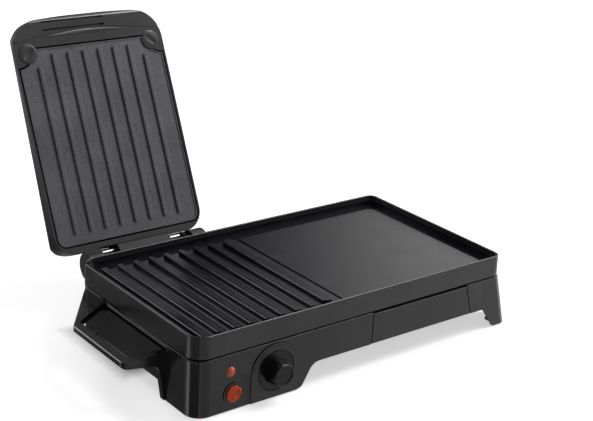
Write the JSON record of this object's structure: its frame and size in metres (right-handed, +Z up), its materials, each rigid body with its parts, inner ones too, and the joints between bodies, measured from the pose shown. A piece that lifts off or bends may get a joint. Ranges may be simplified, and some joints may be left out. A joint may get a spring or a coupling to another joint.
{
  "type": "electric indoor grill with hinged lid",
  "caption": "Countertop electric grill: half ribbed, half flat cooking plate on a moulded base with side handles, a slide-out drip tray, and a heated ribbed lid hinged over the ribbed half.",
  "frame": {"origin": "on the table under the middle of the grill's outline, lid open", "axes": "+X runs along the cooking tray from the ribbed end to the flat end, +Y points to the back where the lid is hinged, +Z is up"},
  "size_m": [0.584, 0.4739, 0.3571],
  "materials": {
    "black_satin_plastic": "satin moulded black",
    "under_plastic": "matt moulded black",
    "coated_casting": "die-cast aluminium under a dark non-stick coating",
    "heater_steel": "heat-darkened sheath",
    "reflector_sheet": "bright mill finish",
    "bracket_steel": "zinc-plated sheet",
    "pin_steel": "bright plated",
    "bush_nylon": "natural nylon",
    "foot_rubber": "matt black rubber",
    "knob_plastic": "satin black",
    "thermostat_ceramic": "glazed ceramic body",
    "nut_brass": "plated brass",
    "bezel_plastic": "gloss black",
    "red_button_plastic": "translucent red",
    "red_lens_plastic": "translucent red",
    "lamp_glass": "clear bulb",
    "terminal_plastic": "natural polyamide",
    "tray_steel": "pressed sheet"
  },
  "bodies": {
    "base": {"tray_frame": "black_satin_plastic", "cooking_plate": "coated_casting", "plate_heater": "heater_steel", "heater_saddles": "bracket_steel", "heat_reflector": "reflector_sheet", "base_housing": "black_satin_plastic", "base_cover": "under_plastic", "control_box_cover": "under_plastic", "left_handle": "black_satin_plastic", "right_handle": "black_satin_plastic", "rubber_feet": "foot_rubber", "left_hinge_tower": "black_satin_plastic", "right_hinge_tower": "black_satin_plastic", "hinge_pins": "pin_steel", "drip_tray_runners": "under_plastic", "thermostat": "thermostat_ceramic", "thermostat_nut": "nut_brass", "switch_body": "bezel_plastic", "button_bezel": "bezel_plastic", "pilot_lens": "red_lens_plastic", "pilot_lamp": "lamp_glass", "terminal_block": "terminal_plastic", "cord_grommet": "foot_rubber", "cover_screws": "bracket_steel", "box_screws": "bracket_steel", "tower_screws": "bracket_steel"},
    "lid": {"hinge_bushes": "bush_nylon", "hinge_block": "black_satin_plastic", "lid_shell": "black_satin_plastic", "lid_handle": "black_satin_plastic", "lid_plate": "coated_casting", "lid_heater": "heater_steel", "lid_reflector": "reflector_sheet", "lid_cross_pins": "pin_steel", "lid_screws": "bracket_steel"},
    "drawer": {"drip_tray": "tray_steel", "drip_tray_front": "black_satin_plastic"},
    "knob": {"heat_knob": "knob_plastic", "knob_shaft": "bracket_steel"},
    "button": {"power_button": "red_button_plastic"}
  },
  "joints": [
    {"name": "lid_hinge", "type": "hinge", "parent": "base", "child": "lid", "pos_m": [-0.126, 0.06203, 0.0775], "axis": [1, 0, 0], "range_deg": [0, 115.4]},
    {"name": "drip_tray_slide", "type": "slide", "parent": "base", "child": "drawer", "axis": [0, -1, 0], "range_m": [0, 0.15]},
    {"name": "knob_turn", "type": "hinge", "parent": "base", "child": "knob", "pos_m": [-0.125, -0.22897, 0.036], "axis": [0, 1, 0], "range_deg": [0, 270]},
    {"name": "button_press", "type": "slide", "parent": "base", "child": "button", "axis": [0, 1, 0], "range_m": [0, 0.003], "stiffness_N_per_m": 800}
  ]
}
